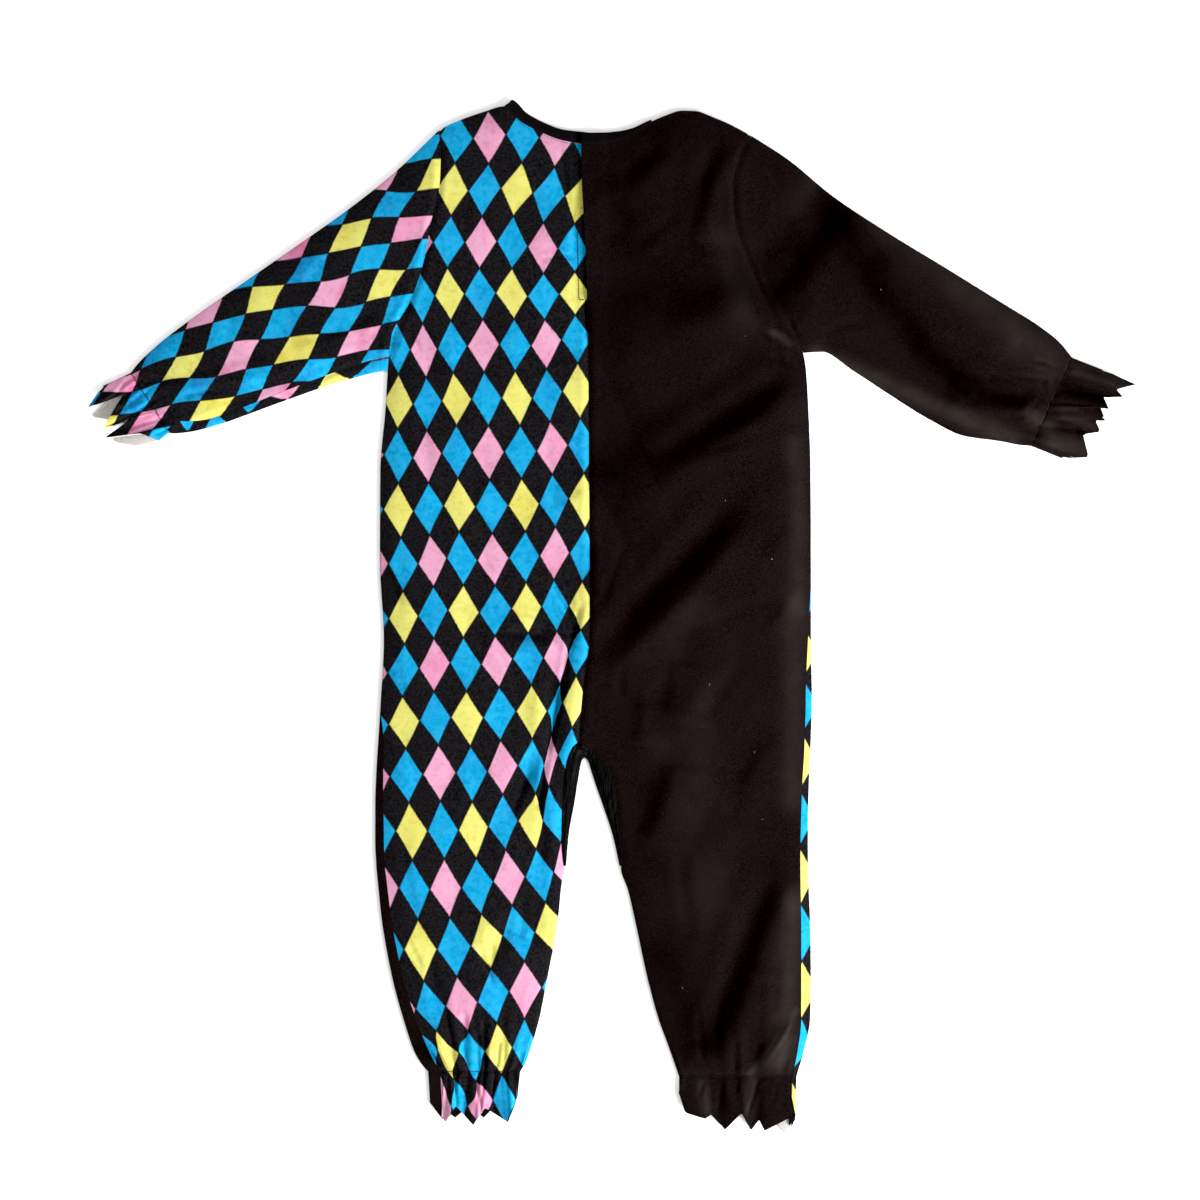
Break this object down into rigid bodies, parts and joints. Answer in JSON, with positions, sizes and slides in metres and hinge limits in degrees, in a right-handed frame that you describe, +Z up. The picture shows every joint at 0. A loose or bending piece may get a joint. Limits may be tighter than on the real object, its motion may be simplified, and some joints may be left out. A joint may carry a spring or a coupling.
{
  "type": "child's jester costume",
  "caption": "One-piece harlequin and black jester suit with long sleeves and pointed ruffle cuffs, laid flat with its back upward.",
  "frame": {"origin": "middle of the laid-out garment, on the surface that it lies on", "axes": "+Z up from the surface, through the front layer and then the back layer; +Y toward the neck; +X across the arms, toward the black sleeve"},
  "size_m": [0.9316, 0.921, 0.0078],
  "materials": {
    "harlequin_print": "brushed polyester knit printed with blue, pink, yellow and black diamonds",
    "black_cloth": "brownish black brushed polyester knit with a soft nap",
    "black_binding": "black knit binding strip, topstitched",
    "black_satin": "smooth black jersey with a slight sheen"
  },
  "bodies": {
    "root": {"back_left": "harlequin_print", "back_right": "black_cloth", "front_left": "black_cloth", "front_right": "harlequin_print", "sleeve_left": "harlequin_print", "sleeve_right": "black_cloth", "neck_binding_back_left": "black_binding", "neck_binding_back_right": "black_binding", "neck_binding_front_left": "black_binding", "neck_binding_front_right": "black_binding", "crotch_gusset": "black_satin"}
  },
  "joints": []
}
